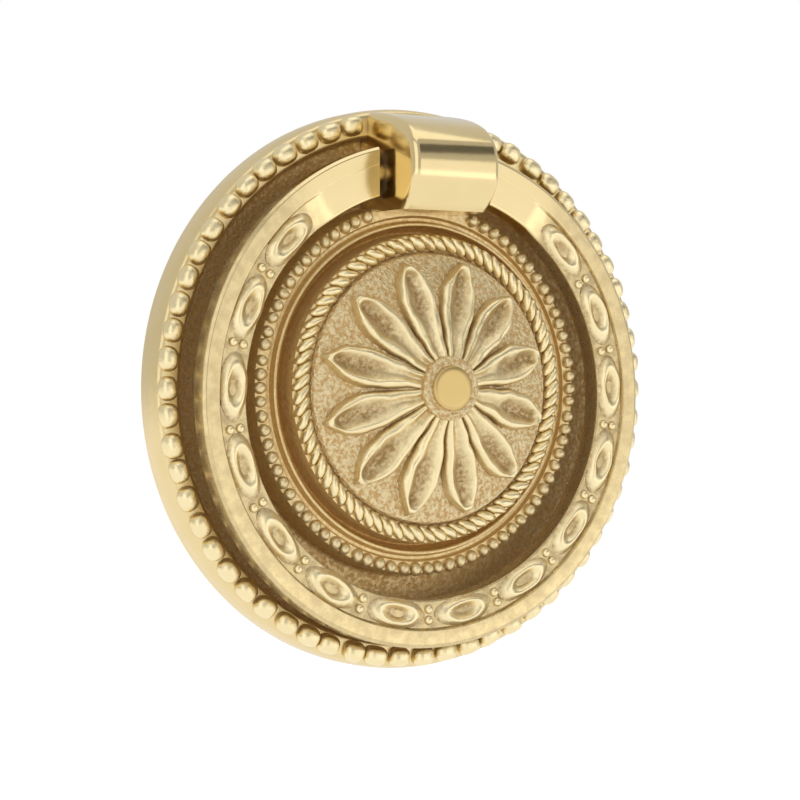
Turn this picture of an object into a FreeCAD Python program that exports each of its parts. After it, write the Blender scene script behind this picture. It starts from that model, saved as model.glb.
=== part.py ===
import FreeCAD, Part
import math
import os
import re

import Sketcher

# A cast brass ring pull. Each piece is drawn as it lies on its back on a bench, with x to the right,
# y towards the top of the pull and z out of the drawer front, and its Placement then stands it up:
# the plate's back is on Y = 0, the front looks along -Y and +Z is up.

# Lengths are in millimetres and angles in degrees. Heights are above the plate's back face.
DRIVING_SIZES = [
    ("plate_diameter", 57.0, "across the foot of the plate"),
    ("rim_inset", 1.5, "from the foot's edge in to the bead circle"),
    ("rim_height", 2.9, "seat of the rim's beads"),
    ("bead_radius", 1.15, "beads round the rim"),
    ("bead_count", 62, "beads round the rim"),
    ("channel_floor", 1.8, "floor of the channel under the ring"),
    ("step_clearance", 1.8, "gap between the ring and the boss inside it"),
    ("step_height", 5.7, "seat of the boss's pearls"),
    ("pearl_radius", 0.75, "pearls round the boss"),
    ("pearl_half_width", 0.55, "half a pearl, along the row"),
    ("pearl_count", 82, "pearls round the boss"),
    ("groove_width", 0.5, "flat between the pearls and the thin raised line"),
    ("ridge_width", 0.5, "thin raised line inside the pearls"),
    ("ridge_height", 0.3, "thin raised line inside the pearls"),
    ("cove_width", 0.75, "from the thin line in to the drum's wall"),
    ("rope_height", 6.9, "seat of the roped rim"),
    ("rope_radius", 0.88, "roped rim of the medallion"),
    ("rope_count", 75, "strands of the roped rim"),
    ("strand_half_width", 0.45, "half a strand of the roped rim"),
    ("rope_lay", 32.0, "slant of the strands"),
    ("field_rise", 1.9, "doming of the ground behind the flower"),
    ("collar_radius", 3.2, "collar round the stud's head"),
    ("rosette_height", 11.3, "top of the collar"),
    ("petal_count", 12, "petals of the flower"),
    ("petal_phase", 18.0, "turn of the first petal"),
    ("petal_margin", 1.4, "from the petals' tips to the roped rim"),
    ("petal_tip_height", 9.2, "top of a petal at its tip"),
    ("petal_root_height", 10.9, "top of a petal at the collar"),
    ("petal_root_half_width", 0.5, "half a petal's width at the collar"),
    ("petal_half_width", 1.7, "half a petal's width at its shoulder"),
    ("petal_lip", 0.5, "raised edge round a petal's hollow"),
    ("petal_hollow_depth", 0.8, "hollow in a petal"),
    ("lug_width", 10.0, "hinge lug between the ring's ends"),
    ("lug_inset", 0.45, "from the foot's edge in to the lug's top"),
    ("lug_overhang", 1.05, "lug's lower edge, inside the boss's wall"),
    ("lug_height", 12.6, "front of the lug"),
    ("lug_chin", 2.0, "lug's front edge below, behind its front"),
    ("lug_brow", 1.2, "lug's front edge above, behind its front"),
    ("ring_clearance", 0.5, "between the ring and the beads, in plan"),
    ("ring_drop", 0.67, "ring's centre below the plate's"),
    ("ring_rest_gap", 0.3, "between the beads' tops and the ring's back"),
    ("ring_width", 4.8, "face of the ring"),
    ("ring_thickness", 3.1, "ring, front to back"),
    ("ring_bevel", 0.3, "bevel of the ring's front edges"),
    ("ring_back_bevel", 0.8, "bevel of the ring's back edges"),
    ("ring_gap", 12.0, "between the ring's two ends"),
    ("frieze_width", 2.95, "sunk frieze along the ring's inner edge"),
    ("frieze_depth", 0.3, "sunk frieze on the ring's face"),
    ("oval_count", 14, "ovals of the frieze"),
    ("oval_pitch", 20.5, "turn from one oval to the next"),
    ("oval_half_length", 2.7, "ovals of the frieze"),
    ("oval_half_width", 1.15, "ovals of the frieze"),
    ("oval_lip", 0.42, "raised edge of an oval"),
    ("oval_height", 0.5, "height of an oval over the frieze"),
    ("pin_radius", 0.9, "hinge pin"),
    ("pin_clearance", 0.05, "running clearance round the pin in the ring"),
    ("pin_reach", 2.6, "depth of the blind hole in each end of the ring"),
    ("pin_end_play", 0.2, "between the pin's end and the hole's"),
    ("stud_radius", 2.0, "shank of the fixing stud"),
    ("stud_reach", 25.0, "shank behind the plate"),
    ("stud_head_radius", 2.2, "spigot of the stud, held in the plate"),
    ("stud_head_thickness", 0.9, "spigot's end in front of the collar"),
    ("relief_radius", 3.6, "relief in the plate's back round the stud"),
    ("relief_depth", 0.6, "relief in the plate's back round the stud"),
    ("spigot_proud", 0.2, "spigot's other end over the relief's floor"),
    ("spigot_clearance", 0.02, "spigot in its hole, to each side"),
    ("stud_bevel", 0.4, "bevel of the stud's far end"),
]

# Sizes that follow from the driving ones, from the rim inwards.
PLATE_RADIUS = "(plate_diameter / 2)"
BEAD_CIRCLE = f"({PLATE_RADIUS} - rim_inset)"
BEAD_INSIDE = f"({BEAD_CIRCLE} - bead_radius)"
RING_OUTER = f"({BEAD_INSIDE} - ring_clearance)"
RING_INNER = f"({RING_OUTER} - ring_width)"
STEP_RADIUS = f"({RING_INNER} - step_clearance)"
PEARL_CIRCLE = f"({STEP_RADIUS} - pearl_radius)"
GROOVE_OUTER = f"({PEARL_CIRCLE} - pearl_radius)"
RIDGE_MIDDLE = f"({GROOVE_OUTER} - groove_width - ridge_width / 2)"
DRUM_RADIUS = f"({RIDGE_MIDDLE} - ridge_width / 2 - cove_width)"
ROPE_CIRCLE = f"({DRUM_RADIUS} - rope_radius)"
FIELD_RADIUS = f"({ROPE_CIRCLE} - rope_radius)"
FIELD_TOP = "(rope_height + field_rise)"
RING_BACK = "(rim_height + bead_radius + ring_rest_gap)"
RING_FACE = f"({RING_BACK} + ring_thickness)"
FRIEZE_OUTER = f"({RING_INNER} + frieze_width)"
FRIEZE_FACE = f"({RING_FACE} - frieze_depth)"
OVAL_CIRCLE = f"({RING_INNER} + frieze_width / 2)"
RING_MIDDLE = f"({RING_INNER} + ring_width / 2)"
PIVOT_UP = f"(sqrt({RING_MIDDLE} ^ 2 - (ring_gap / 2) ^ 2))"
PIVOT_OUT = f"({RING_BACK} + ring_thickness / 2)"
PIN_HALF = "(ring_gap / 2 + pin_reach - pin_end_play)"
LUG_TOP = f"({PLATE_RADIUS} - lug_inset)"
LUG_BOTTOM = f"({STEP_RADIUS} - lug_overhang)"
PETAL_TIP = f"({FIELD_RADIUS} - petal_margin)"
PETAL_FALL = f"((petal_root_height - petal_tip_height) / ({PETAL_TIP} - collar_radius))"
PETAL_SLOPE = f"atan({PETAL_FALL})"

# Shapes that stay alike whatever the sizes: places along a petal and an oval as shares of their
# length, and how far a bead's and a strand's facets stand in from their round.
PETAL_SHOULDER = 0.62
PETAL_KNEE = 0.87
PETAL_KNEE_WIDTH = 0.68
HOLLOW_START = 0.36
OVAL_KNEE = 0.55
OVAL_KNEE_WIDTH = 0.86
HEXAGON_HEIGHT = 0.866
BEAD_LENGTH = 1.8

document = FreeCAD.newDocument("ring_pull")
sheet = document.addObject("Spreadsheet::Sheet", "Sizes")
for row, (alias, number, meaning) in enumerate(DRIVING_SIZES, start=1):
    sheet.set(f"A{row}", meaning)
    sheet.set(f"B{row}", str(number))
    sheet.setAlias(f"B{row}", alias)
document.recompute()


def from_sheet(expression):
    """The expression with every alias looked up in the sheet: an alias is words joined by underscores."""
    return re.sub(r"[a-z]+(?:_[a-z]+)+", lambda found: "Sizes." + found.group(), expression)


def number(expression):
    """What an expression comes to with the sheet's numbers."""
    value = sheet.evalExpression(from_sheet(expression))
    return float(getattr(value, "Value", value))


def bind(item, name, expression):
    item.setExpression(name, from_sheet(expression))


def new_body(label):
    body = document.addObject("PartDesign::Body", label)
    body.Label = label
    return body


def origin_feature(body, role):
    return next(feature for feature in body.Origin.OriginFeatures if feature.Role == role)


def stand_up(body, up="0", out="0"):
    """Turns a piece drawn on its back so that its front looks along -Y."""
    bind(body, "Placement", f"placement(vector(0; -({out}); {up}); rotation(vector(1; 0; 0); 90))")


def arc_between(start, end, radius, left):
    """The short arc from start to end whose middle bulges to the left or right of the way it runs."""
    chord = end - start
    half = chord.Length / 2
    side = FreeCAD.Vector(-chord.y, chord.x, 0).normalize()
    if not left:
        side = -side
    to_centre = math.sqrt(max(radius ** 2 - half ** 2, 0))
    centre = (start + end) * 0.5 - side * to_centre
    middle = centre + side * radius
    return Part.Arc(start, middle, end)


def draw_outline(body, label, plane, corners, arcs=(), offset=None, mirror=None):
    """A closed outline on one of the body's own planes, every corner and radius bound to the sheet.

    corners holds (x, y) expressions, or the number of the corner that this one mirrors, across the
    sketch's own axis named by mirror ("x" or "y"). arcs maps an edge, by the corner it starts at,
    to its radius and whether it bulges to the left. Other edges are straight.
    """
    sketch = body.newObject("Sketcher::SketchObject", label)
    sketch.AttachmentSupport = [(origin_feature(body, plane), "")]
    sketch.MapMode = "FlatFace"
    if offset:
        bind(sketch, "AttachmentOffset", offset)
    arcs = dict(arcs)
    places = []
    for corner in corners:
        if isinstance(corner, int):
            seen = places[corner]
            flip = (seen.x, -seen.y) if mirror == "x" else (-seen.x, seen.y)
            places.append(FreeCAD.Vector(*flip, 0))
        else:
            places.append(FreeCAD.Vector(number(corner[0]), number(corner[1]), 0))
    count = len(corners)
    ends = []
    for index, start in enumerate(places):
        end = places[(index + 1) % count]
        if index in arcs:
            radius, left = arcs[index]
            edge = sketch.addGeometry(arc_between(start, end, number(radius), left), False)
            starts_first = sketch.getPoint(edge, 1).isEqual(start, 1e-6)
            ends.append((edge, 1, 2) if starts_first else (edge, 2, 1))
            name = f"radius_{index}"
            rule = sketch.addConstraint(Sketcher.Constraint("Radius", edge, number(radius)))
            sketch.renameConstraint(rule, name)
            bind(sketch, f"Constraints.{name}", radius)
        else:
            edge = sketch.addGeometry(Part.LineSegment(start, end), False)
            ends.append((edge, 1, 2))
    for index in range(count):
        edge, begin, finish = ends[index]
        after, after_begin, after_finish = ends[(index + 1) % count]
        sketch.addConstraint(Sketcher.Constraint("Coincident", edge, finish, after, after_begin))
    axes = {"x": -1, "y": -2}
    for index, corner in enumerate(corners):
        edge, begin, finish = ends[index]
        if isinstance(corner, int):
            twin, twin_begin, twin_finish = ends[corner]
            sketch.addConstraint(
                Sketcher.Constraint("Symmetric", twin, twin_begin, edge, begin, axes[mirror]))
            continue
        for kind, axis, expression in (("DistanceX", "y", corner[0]), ("DistanceY", "x", corner[1])):
            if expression == "0":
                sketch.addConstraint(Sketcher.Constraint("PointOnObject", edge, begin, axes[axis]))
                continue
            name = f"{kind}_{index}"
            rule = sketch.addConstraint(
                Sketcher.Constraint(kind, -1, 1, edge, begin, number(expression)))
            sketch.renameConstraint(rule, name)
            bind(sketch, f"Constraints.{name}", expression)
    document.recompute()
    return sketch


def turn_round(body, sketch, label):
    turned = body.newObject("PartDesign::Revolution", label)
    turned.Profile = sketch
    turned.ReferenceAxis = (sketch, ["V_Axis"])
    turned.Angle = 360
    document.recompute()
    return turned


def extrude(body, sketch, kind, label, length, side="Symmetric"):
    """A Pad or a Pocket of the sketch, half to each side of it or all to its back."""
    feature = body.newObject(f"PartDesign::{kind}", label)
    feature.Profile = sketch
    feature.SideType = side
    feature.Reversed = kind == "Pad" and side == "One side"
    bind(feature, "Length", length)
    document.recompute()
    return feature


def repeat_round(body, originals, label, count, angle="360"):
    pattern = body.newObject("PartDesign::PolarPattern", label)
    pattern.Originals = originals
    pattern.Axis = (origin_feature(body, "Z_Axis"), [""])
    bind(pattern, "Angle", angle)
    bind(pattern, "Occurrences", count)
    body.Tip = pattern
    document.recompute()
    return pattern


def add_row(body, label, circle, section, length, count, lay="0"):
    """A row of beads or strands round a circle: a section along the row, drawn out across it."""
    outline = draw_outline(
        body, f"{label}_outline", "XZ_Plane", section,
        offset=f"placement(vector(0; 0; -({circle})); rotation(vector(0; 1; 0); {lay}))", mirror="y")
    first = extrude(body, outline, "Pad", f"{label}_first", length)
    repeat_round(body, [first], f"{label}s", count)


def add_rows(body):
    """The rim's beads are half a hexagon, and the finer pearls and slanting strands are roofs."""
    bead = [("bead_radius", "rim_height"),
            ("bead_radius / 2", f"rim_height + bead_radius * {HEXAGON_HEIGHT}"), 1, 0]
    add_row(body, "bead", BEAD_CIRCLE, bead, f"bead_radius * {BEAD_LENGTH}", "bead_count")
    pearl = [("pearl_half_width", "step_height"), ("0", "step_height + pearl_radius"), 0]
    add_row(body, "pearl", PEARL_CIRCLE, pearl, f"pearl_radius * {BEAD_LENGTH}", "pearl_count")
    strand = [("strand_half_width", "rope_height"), ("0", "rope_height + rope_radius"), 0]
    reach = "(rope_radius - strand_half_width * sin(rope_lay)) / cos(rope_lay)"
    add_row(body, "strand", ROPE_CIRCLE, strand, f"{reach} * {BEAD_LENGTH}", "rope_count", "rope_lay")


def seat_edges(circle, seat, radius):
    """The two edges of a flat seat for a row of beads, from the outside in."""
    return [(f"{circle} + {radius}", seat), (f"{circle} - {radius}", seat)]


def gentle(run, rise, share):
    """A radius that stays longer than half its chord, whatever the chord's two sides come to."""
    return f"({share} * sqrt(({run}) ^ 2 + ({rise}) ^ 2))"


def make_backplate():
    body = new_body("backplate")
    hole = "stud_head_radius + spigot_clearance"
    foot = [(hole, "relief_depth"), ("relief_radius", "relief_depth"), ("relief_radius", "0"),
            (PLATE_RADIUS, "0")]
    rim = [(PLATE_RADIUS, "rim_height"), (BEAD_INSIDE, "rim_height")]
    channel = [(BEAD_INSIDE, "channel_floor"), (STEP_RADIUS, "channel_floor")]
    step = [(STEP_RADIUS, "step_height"), (f"{RIDGE_MIDDLE} + ridge_width / 2", "step_height"),
            (RIDGE_MIDDLE, "step_height + ridge_height"),
            (f"{RIDGE_MIDDLE} - ridge_width / 2", "step_height"), (DRUM_RADIUS, "step_height")]
    rope = seat_edges(ROPE_CIRCLE, "rope_height", "rope_radius")
    centre = [("collar_radius", FIELD_TOP), ("collar_radius", "rosette_height"),
              (hole, "rosette_height")]
    corners = foot + rim + channel + step + rope + centre
    turn_round(body, draw_outline(body, "plate_section", "XZ_Plane", corners), "plate_turned")
    add_rows(body)
    add_petals(body)
    add_lug(body)
    stand_up(body)
    return body


def add_petals(body):
    """Spoon-shaped petals on a slope that falls from the collar to their tips."""
    slant = f"cos({PETAL_SLOPE})"
    root = f"(collar_radius - petal_lip / 2) / {slant}"
    tip = f"{PETAL_TIP} / {slant}"
    length = f"({tip} - {root})"
    slope = f"placement(vector(0; 0; petal_root_height + collar_radius * {PETAL_FALL});"
    slope += f" rotation(petal_phase; {PETAL_SLOPE}; 0))"
    knee = f"{root} + {PETAL_KNEE} * {length}"
    shoulder = f"{root} + {PETAL_SHOULDER} * {length}"
    leaf = draw_outline(
        body, "petal_outline", "XY_Plane",
        [(tip, "0"), (knee, f"petal_half_width * {PETAL_KNEE_WIDTH}"), (shoulder, "petal_half_width"),
         (root, "petal_root_half_width"), 3, 2, 1],
        offset=slope, mirror="x")
    depth = f"petal_root_height - {FIELD_TOP} + petal_lip"
    petal = extrude(body, leaf, "Pad", "petal_first", depth, "One side")
    half = "(petal_half_width - petal_lip)"
    spoon = draw_outline(
        body, "petal_hollow_outline", "XY_Plane",
        [(f"{tip} - petal_lip", "0"), (f"{knee} - petal_lip / 2", f"{half} * {PETAL_KNEE_WIDTH}"),
         (shoulder, half), (f"{root} + {HOLLOW_START} * {length}", "0"), 2, 1],
        offset=slope, mirror="x")
    hollow = extrude(body, spoon, "Pocket", "petal_first_hollow", "petal_hollow_depth", "One side")
    repeat_round(body, [petal, hollow], "petals", "petal_count")


def add_lug(body):
    """The hinge lug: a rounded knuckle, flush with the plate's edge above, bored for the pin."""
    brow = (f"{LUG_TOP} - 2 * lug_brow", "lug_height - lug_brow")
    shin = (f"{LUG_BOTTOM} + lug_chin", "lug_height")
    outline = draw_outline(
        body, "lug_side", "YZ_Plane",
        [(LUG_TOP, "channel_floor"), brow, (f"{LUG_TOP} - 4 * lug_brow", "lug_height"), shin,
         (LUG_BOTTOM, "lug_height - lug_chin"), (LUG_BOTTOM, "channel_floor")],
        {0: (gentle("2 * lug_brow", "lug_height - lug_brow - channel_floor", 1.3), False),
         1: (gentle("2 * lug_brow", "lug_brow", 0.75), False),
         3: (gentle("lug_chin", "lug_chin", 0.9), False)})
    extrude(body, outline, "Pad", "lug", "lug_width")
    bore = draw_circle(body, "lug_bore_outline", f"{PIVOT_UP} - ring_drop", PIVOT_OUT, "pin_radius")
    body.Tip = extrude(body, bore, "Pocket", "lug_bore", "lug_width * 1.1")


def draw_circle(body, label, across, out, radius):
    """A circle on the plane of the pull's middle, for a hole along the hinge's axis."""
    sketch = body.newObject("Sketcher::SketchObject", label)
    sketch.AttachmentSupport = [(origin_feature(body, "YZ_Plane"), "")]
    sketch.MapMode = "FlatFace"
    middle = FreeCAD.Vector(number(across), number(out), 0)
    circle = sketch.addGeometry(Part.Circle(middle, FreeCAD.Vector(0, 0, 1), number(radius)), False)
    rules = [("across", ("DistanceX", -1, 1, circle, 3, middle.x), across),
             ("out", ("DistanceY", -1, 1, circle, 3, middle.y), out),
             ("radius", ("Radius", circle, number(radius)), radius)]
    for name, rule, expression in rules:
        sketch.renameConstraint(sketch.addConstraint(Sketcher.Constraint(*rule)), name)
        bind(sketch, f"Constraints.{name}", expression)
    document.recompute()
    return sketch


def make_ring():
    body = new_body("ring")
    corners = [
        (RING_INNER, RING_BACK), (f"{RING_OUTER} - ring_back_bevel", RING_BACK),
        (RING_OUTER, f"{RING_BACK} + ring_back_bevel"), (RING_OUTER, f"{RING_FACE} - ring_bevel"),
        (f"{RING_OUTER} - ring_bevel", RING_FACE), (FRIEZE_OUTER, RING_FACE),
        (FRIEZE_OUTER, FRIEZE_FACE), (RING_INNER, FRIEZE_FACE)]
    turn_round(body, draw_outline(body, "ring_section", "XZ_Plane", corners), "ring_turned")
    add_ovals(body)
    gap = draw_outline(
        body, "ring_gap_outline", "XY_Plane",
        [("ring_gap / 2", f"{RING_INNER} / 2"), ("ring_gap / 2", f"{RING_OUTER} * 1.1"), 1, 0],
        mirror="y")
    extrude(body, gap, "Pocket", "ring_gap_cut", f"{RING_FACE} * 4")
    bore = draw_circle(body, "ring_bore_outline", PIVOT_UP, PIVOT_OUT, "pin_radius + pin_clearance")
    body.Tip = extrude(body, bore, "Pocket", "ring_bores", "ring_gap + 2 * pin_reach")
    stand_up(body, "-(ring_drop)")
    return body


def add_ovals(body):
    """Hollowed ovals on the frieze, spread evenly to both sides of the ring's lowest point."""
    span = "(oval_count - 1) * oval_pitch"
    first_turn = f"270 - {span} / 2"
    seat = f"placement(vector(0; 0; {FRIEZE_FACE}); rotation({first_turn}; 0; 0))"
    outer = draw_oval(body, "oval_outline", seat, "oval_half_length", "oval_half_width")
    raised = body.newObject("PartDesign::Pad", "oval_first")
    raised.Profile = outer
    bind(raised, "Length", "oval_height")
    document.recompute()
    top = f"placement(vector(0; 0; {FRIEZE_FACE} + oval_height); rotation({first_turn}; 0; 0))"
    inner = draw_oval(body, "oval_hollow_outline", top, "oval_half_length - oval_lip",
                      "oval_half_width - oval_lip")
    hollow = extrude(body, inner, "Pocket", "oval_first_hollow", "oval_height", "One side")
    repeat_round(body, [raised, hollow], "ovals", "oval_count", span)


def draw_oval(body, label, seat, half_length, half_width):
    """A faceted oval with its long way round the ring."""
    knee = f"({half_length}) * {OVAL_KNEE}"
    narrow = f"({half_width}) * {OVAL_KNEE_WIDTH}"
    return draw_outline(
        body, label, "XY_Plane",
        [(f"{OVAL_CIRCLE} - {narrow}", knee), (OVAL_CIRCLE, half_length),
         (f"{OVAL_CIRCLE} + {narrow}", knee), 2, 1, 0],
        offset=seat, mirror="x")


def make_hinge_pin():
    pin = document.addObject("Part::Cylinder", "hinge_pin")
    pin.Label = "hinge_pin"
    bind(pin, "Radius", "pin_radius")
    bind(pin, "Height", f"2 * {PIN_HALF}")
    bind(pin, "Placement", f"placement(vector(-{PIN_HALF}; -{PIVOT_OUT}; {PIVOT_UP} - ring_drop);"
                           " rotation(vector(0; 1; 0); 90))")
    return pin


def make_fixing_stud():
    """Drawn from its front end backwards: a spigot in the plate and a thinner shank behind."""
    body = new_body("fixing_stud")
    length = "(stud_head_thickness + rosette_height + stud_reach)"
    spigot = "stud_head_thickness + rosette_height - relief_depth + spigot_proud"
    corners = [
        ("0", "0"), ("stud_head_radius", "0"), ("stud_head_radius", spigot),
        ("stud_radius", spigot), ("stud_radius", f"{length} - stud_bevel"),
        ("stud_radius - stud_bevel", length), ("0", length)]
    body.Tip = turn_round(body, draw_outline(body, "stud_section", "XZ_Plane", corners), "stud_turned")
    bind(body, "Placement", "placement(vector(0; -(rosette_height + stud_head_thickness); 0);"
                            " rotation(vector(1; 0; 0); -90))")
    return body


pieces = [make_backplate(), make_ring(), make_hinge_pin(), make_fixing_stud()]
document.recompute()

for item in document.Objects:
    if "Invalid" in item.State or "Error" in item.State:
        raise RuntimeError(f"{item.Label} could not be worked out: {item.State}")
for piece in pieces:
    if piece.Shape.isNull() or not piece.Shape.isValid() or len(piece.Shape.Solids) != 1:
        raise RuntimeError(f"{piece.Label} is not one sound solid")

os.makedirs("parts", exist_ok=True)
for piece in pieces:
    piece.Shape.exportStep(f"parts/{piece.Label}.step")
    box = piece.Shape.BoundBox
    print(f"{piece.Label}: {piece.Shape.Volume:.1f} mm3, {box}")
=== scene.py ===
import math

import bmesh
import bpy
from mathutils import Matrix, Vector, noise


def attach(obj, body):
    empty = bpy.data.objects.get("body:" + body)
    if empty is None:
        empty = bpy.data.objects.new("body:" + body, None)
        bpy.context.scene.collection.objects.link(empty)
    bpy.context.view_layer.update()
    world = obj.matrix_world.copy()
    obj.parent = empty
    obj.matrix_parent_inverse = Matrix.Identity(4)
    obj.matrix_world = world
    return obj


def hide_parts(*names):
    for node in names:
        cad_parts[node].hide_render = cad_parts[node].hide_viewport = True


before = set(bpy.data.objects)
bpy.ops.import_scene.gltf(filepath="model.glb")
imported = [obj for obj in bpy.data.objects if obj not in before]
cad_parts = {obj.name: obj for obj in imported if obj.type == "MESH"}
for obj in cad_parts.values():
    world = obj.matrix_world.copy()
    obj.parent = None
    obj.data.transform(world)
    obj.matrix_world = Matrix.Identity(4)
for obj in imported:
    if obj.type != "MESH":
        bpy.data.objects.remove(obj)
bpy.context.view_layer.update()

# A ring pull of polished cast brass. The plate's back is on Y = 0 and its front looks along -Y.
# Sizes are in millimetres: a radius from the plate's axis and a height out from its back.
# Angles run round the axis from the right-hand side, by way of the top.
MM = 0.001
TURN = 2 * math.pi
TOP = TURN / 4
BOTTOM = TURN * 3 / 4

# The plate, from its foot inwards: beaded rim, channel, pearled step, thin raised line, roped drum.
# A lean is how far a wall's foot or top stands off from upright.
PLATE_RADIUS = 28.5
SIDE_HEIGHT = 1.9
RIM_LEAN = 0.3
RIM_TOP = 3.3
BEAD_CIRCLE = 27.2
BEAD_SEAT = 3.4
BEAD_COUNT = 62
BEAD_HALF_WIDTH = 1.02
BEAD_HALF_LENGTH = 1.22
BEAD_HEIGHT = 1.02
BEAD_BLUNTNESS = 0.75
CHANNEL_OUTER = 25.85
CHANNEL_FLOOR = 1.8
CHANNEL_LEAN = 0.15
STEP_RADIUS = 18.75
STEP_INNER = 17.45
STEP_TOP = 5.15
STEP_LEAN = 0.1
PEARL_CIRCLE = 18.2
PEARL_COUNT = 82
PEARL_HALF_WIDTH = 0.72
PEARL_HALF_LENGTH = 0.62
PEARL_HEIGHT = 0.75
GROOVE_FLOOR = 4.65
GROOVE_LEAN = 0.15
RIDGE_OUTER = 16.75
RIDGE_INNER = 16.4
RIDGE_TOP = 5.45
DRUM_RADIUS = 15.5
DRUM_FOOT = 3.95
DRUM_LEAN = 0.2
ROPE_CIRCLE = 14.62
ROPE_SEAT = 6.9
ROPE_COUNT = 75
ROPE_LAY = math.radians(40)
STRAND_HALF_WIDTH = 0.52
STRAND_HALF_LENGTH = 1.3
STRAND_HEIGHT = 0.85
FIELD_RADIUS = 13.74
FIELD_LEAN = 0.3
COLLAR_RADIUS = 3.2
ROSETTE_HEIGHT = 11.3

# The stippled ground of the flower: its heights at the rope and the collar, and where its slope bends.
GROUND_RIM = 7.5
GROUND_BEND = (6.5, 9.15)
GROUND_TOP = 10.35
GROUND_UNDER_ROPE = 0.4

# The flower. Pairs are shares of a petal's length, between which a change begins and ends.
PETAL_COUNT = 12
PETAL_PHASE = math.radians(16)
PETAL_ROOT = 2.9
PETAL_TIP = 13.1
PETAL_ROOT_TOP = 10.85
PETAL_TIP_TOP = 8.75
PETAL_WIDEST = 0.62
PETAL_HALF_WIDTH = 2.0
PETAL_ROOT_HALF_WIDTH = 0.82
PETAL_POINT = 0.08
PETAL_SWELL = 1.4
PETAL_TAPER = 2.1
PETAL_SINK = 0.1
PETAL_FLOOR = 0.15
HOLLOW_DEPTH = 0.85
GROOVE_DEPTH = 0.4
SPOON_OPENS = (0.28, 0.55)
HOLLOW_CLOSES = (0.84, 0.95)
TIP_FALLS = (0.93, 1.0)
DISH_SHAPE = 1.3
LIP_ROUNDNESS = 2.4
# The lip's crest at a petal's root and round its spoon, as a share of the petal's half width.
LIP_CRESTS = (0.52, 0.66)

# The hinge and the ring.
LUG_HALF_WIDTH = 5.0
LUG_TOP = 28.05
LUG_BOTTOM = 17.65
LUG_FRONT = 12.6
LUG_FOOT = 0.3
LUG_BEVEL = 0.8
LUG_BEVEL_FROM = 2.0
BEAD_TO_LUG = 0.3
PIVOT_UP = 21.4818
PIVOT_OUT = 5.9
PIN_HOLE_RADIUS = 0.95
PIN_HOLE_REACH = 2.6
RING_DROP = 0.67
RING_OUTER = 25.35
RING_INNER = 20.55
RING_BACK = 4.35
RING_FACE = 7.45
RING_END = 6.0
BEVEL_WIDTH = 0.3
BEVEL_DEPTH = 0.25
PLAIN_END = math.radians(38)
PLAIN_FADE = 0.09

# The ring's sunk frieze. The points of its section inside its limit and above its root are its own.
FRIEZE_OUTER = 23.5
FRIEZE_LEAN = 0.1
FRIEZE_FACE = 7.05
FRIEZE_LIMIT = 23.61
FRIEZE_ROOT = 6.75
OVAL_COUNT = 14
OVAL_PITCH = math.radians(20.5)
OVAL_CIRCLE = 22.02
OVAL_HALF_LENGTH = 3.4
OVAL_HALF_WIDTH = 1.5
OVAL_SINK = 0.08
OVAL_LIP_PLACE = 0.62
OVAL_LIP_SPREAD = 0.27
OVAL_LIP_HEIGHT = 0.68
FRIEZE_PEARL_SHIFT = 0.55
FRIEZE_PEARL_RADIUS = 0.48
FRIEZE_PEARL_HEIGHT = 0.45

# The fixing stud, and the shallow relief round it in the plate's back.
RELIEF_RADIUS = 3.6
RELIEF_DEPTH = 0.6
STUD_RADIUS = 2.0
STUD_REACH = 25.0
STUD_HEAD_RADIUS = 2.2
STUD_FRONT = 11.65
HEAD_BEVEL = 0.12
SPIGOT_END = 0.4
PLAIN_SHANK = 3.0
THREAD_START = 3.2
THREAD_PITCH = 0.7
THREAD_DEPTH = 0.38
THREAD_RUN_IN = 0.4
THREAD_RUN_OUT = 0.5
END_BEVEL = 0.35
END_BEVEL_LENGTH = 0.4

# Tarnish, from 0 for bright to 1 for brown; in the petals' and ovals' hollows it is also painted shade. A
# point this near to an edge still counts as the edge's.
EDGE = 0.1
CHANNEL_SOIL = 0.65
CHANNEL_SOIL_TOP = 4.25
STEP_SOIL = 0.3
PEARL_SOIL = 0.25
FRIEZE_SOIL = 0.35
BORDER_SOIL = 0.2
SOIL_FADE = 0.1
# Tarnish and painted shade in an oval, browner the lower it lies.
OVAL_TARNISH_AND_SHADE = 0.6
OVAL_TARNISH_AND_SHADE_HEIGHT = 0.4
# Tarnish and painted shade where a petal's lip falls to the ground.
PETAL_CLEFT_TARNISH_AND_SHADE = 0.5
# Tarnish and painted shade in a petal's groove near its root, and in its spoon.
PETAL_HOLLOW_TARNISH_AND_SHADE = (0.35, 0.8)

# The unevenness of the hand casting is the same each time.
CASTING_SEED = 7

# The view: about 30 degrees from the left, level, with the plate's middle on the pixel given.
CAMERA_YAW = math.radians(30.34)
CAMERA_PITCH = math.radians(-0.26)
CAMERA_DISTANCE = 250.0
PIXELS_PER_MM = 9.72
IMAGE_PIXELS = 800
ORIGIN_PIXEL = (394.1, 388.8)
SENSOR_WIDTH = 36.0


def linear(hex_colour):
    """An sRGB hex colour as the linear red, green, blue and alpha that a shader takes."""
    parts = [int(hex_colour[i:i + 2], 16) / 255 for i in (1, 3, 5)]
    return [p / 12.92 if p <= 0.04045 else ((p + 0.055) / 1.055) ** 2.4 for p in parts] + [1.0]


def add(tree, kind, inputs=None, **settings):
    """Adds a node with its settings, and fills its inputs with values or other nodes' sockets."""
    made = tree.nodes.new(kind)
    for name, value in settings.items():
        setattr(made, name, value)
    for name, value in (inputs or {}).items():
        if isinstance(value, bpy.types.NodeSocket):
            tree.links.new(value, made.inputs[name])
        else:
            made.inputs[name].default_value = value
    return made


def clear_nodes(owner):
    """Gives a material or a world an empty tree of nodes."""
    owner.use_nodes = True
    owner.node_tree.nodes.clear()
    return owner.node_tree


def blend(first, second, share):
    return first + (second - first) * share


def ease(value, low, high):
    """0 below low and 1 above high, with a smooth rise between."""
    t = min(max((value - low) / (high - low), 0.0), 1.0)
    return t * t * (3 - 2 * t)


# Shapes: outlines and the meshes that are turned, swept or drawn from them.


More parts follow.
